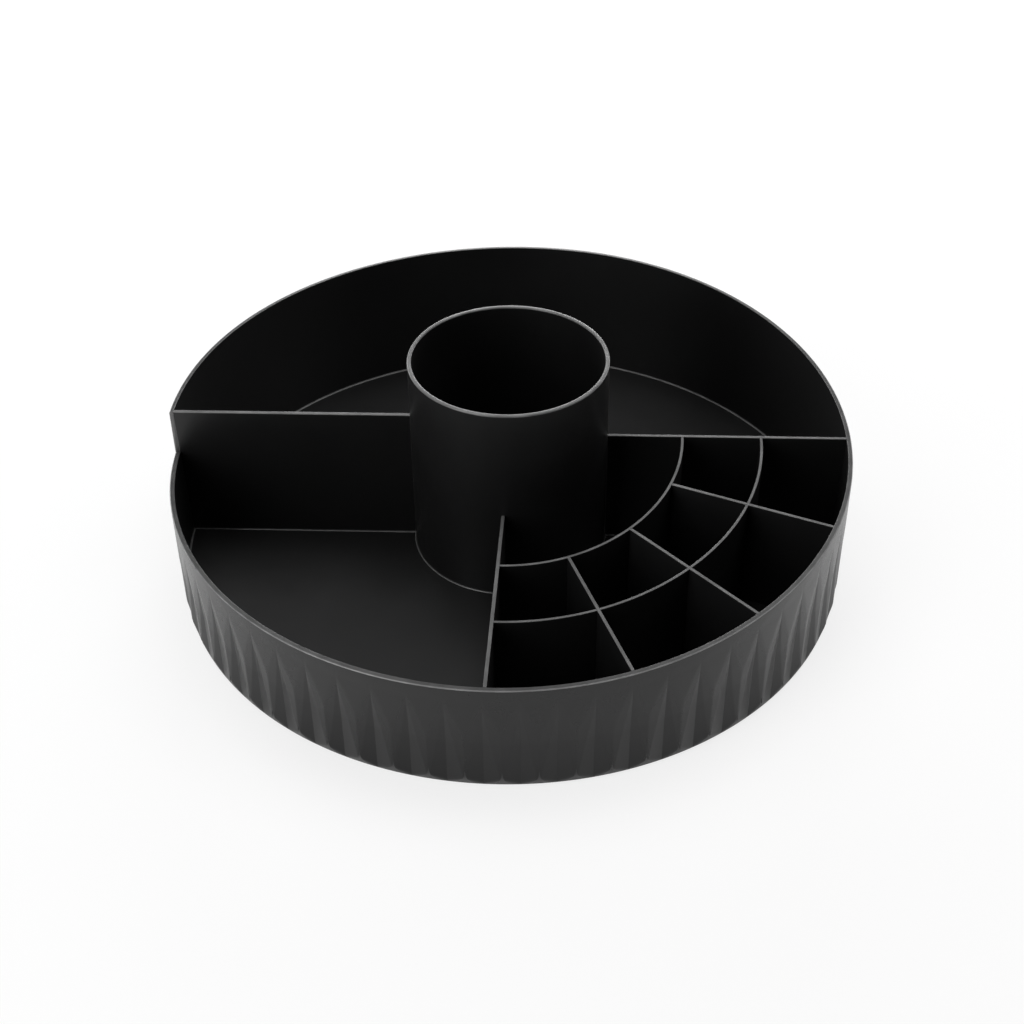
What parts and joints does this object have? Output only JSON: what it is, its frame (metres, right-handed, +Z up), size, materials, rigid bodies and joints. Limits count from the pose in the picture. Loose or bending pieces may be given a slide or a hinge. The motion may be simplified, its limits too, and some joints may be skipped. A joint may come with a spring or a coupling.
{
  "type": "makeup organizer",
  "caption": "Round turning tray for make-up with a tall centre cup, one high divider, a ramped fluted rim and a fan of small compartments, on a ball-race base.",
  "frame": {"origin": "on the table under the turning axis, level with the undersides of the rubber feet", "axes": "+Z up along the turning axis, +X along the right divider; the low front of the rim is at -Y"},
  "size_m": [0.3, 0.3, 0.1045],
  "materials": {
    "tray_plastic": "fine matt moulded black",
    "cup_plastic": "fine matt moulded black",
    "divider_plastic": "fine matt moulded black",
    "base_plastic": "coarse matt moulded black",
    "race_steel": "pressed and lightly oiled",
    "pin_steel": "turned",
    "zinc_steel": "bright zinc plated",
    "ball_steel": "polished",
    "cage_plastic": "natural moulded",
    "bush_plastic": "natural moulded",
    "foot_rubber": "matt rubber"
  },
  "bodies": {
    "base": {"base_disc": "base_plastic", "lower_race": "race_steel", "pivot_pin": "pin_steel", "retaining_washer": "zinc_steel", "retaining_screw": "zinc_steel", "rubber_feet": "foot_rubber"},
    "cage": {"ball_cage": "cage_plastic", "bearing_balls": "ball_steel"},
    "tray": {"tray_shell": "tray_plastic", "centre_cup": "cup_plastic", "cup_floor_disc": "cup_plastic", "left_divider": "divider_plastic", "right_divider": "divider_plastic", "front_divider": "divider_plastic", "inner_arc_wall": "divider_plastic", "outer_arc_wall": "divider_plastic", "radial_wall_right": "divider_plastic", "radial_wall_middle": "divider_plastic", "radial_wall_front": "divider_plastic", "hub_bush": "bush_plastic", "upper_race": "race_steel"}
  },
  "joints": [
    {"name": "tray_spin", "type": "hinge", "parent": "base", "child": "tray", "pos_m": [0, 0, 0.009], "axis": [0, 0, 1], "continuous": true},
    {"name": "cage_spin", "type": "hinge", "parent": "base", "child": "cage", "pos_m": [0, 0, 0.00495], "axis": [0, 0, 1], "continuous": true}
  ],
  "couplings": [
    {"joint": "cage_spin", "follows": "tray_spin", "ratio": 0.5}
  ]
}
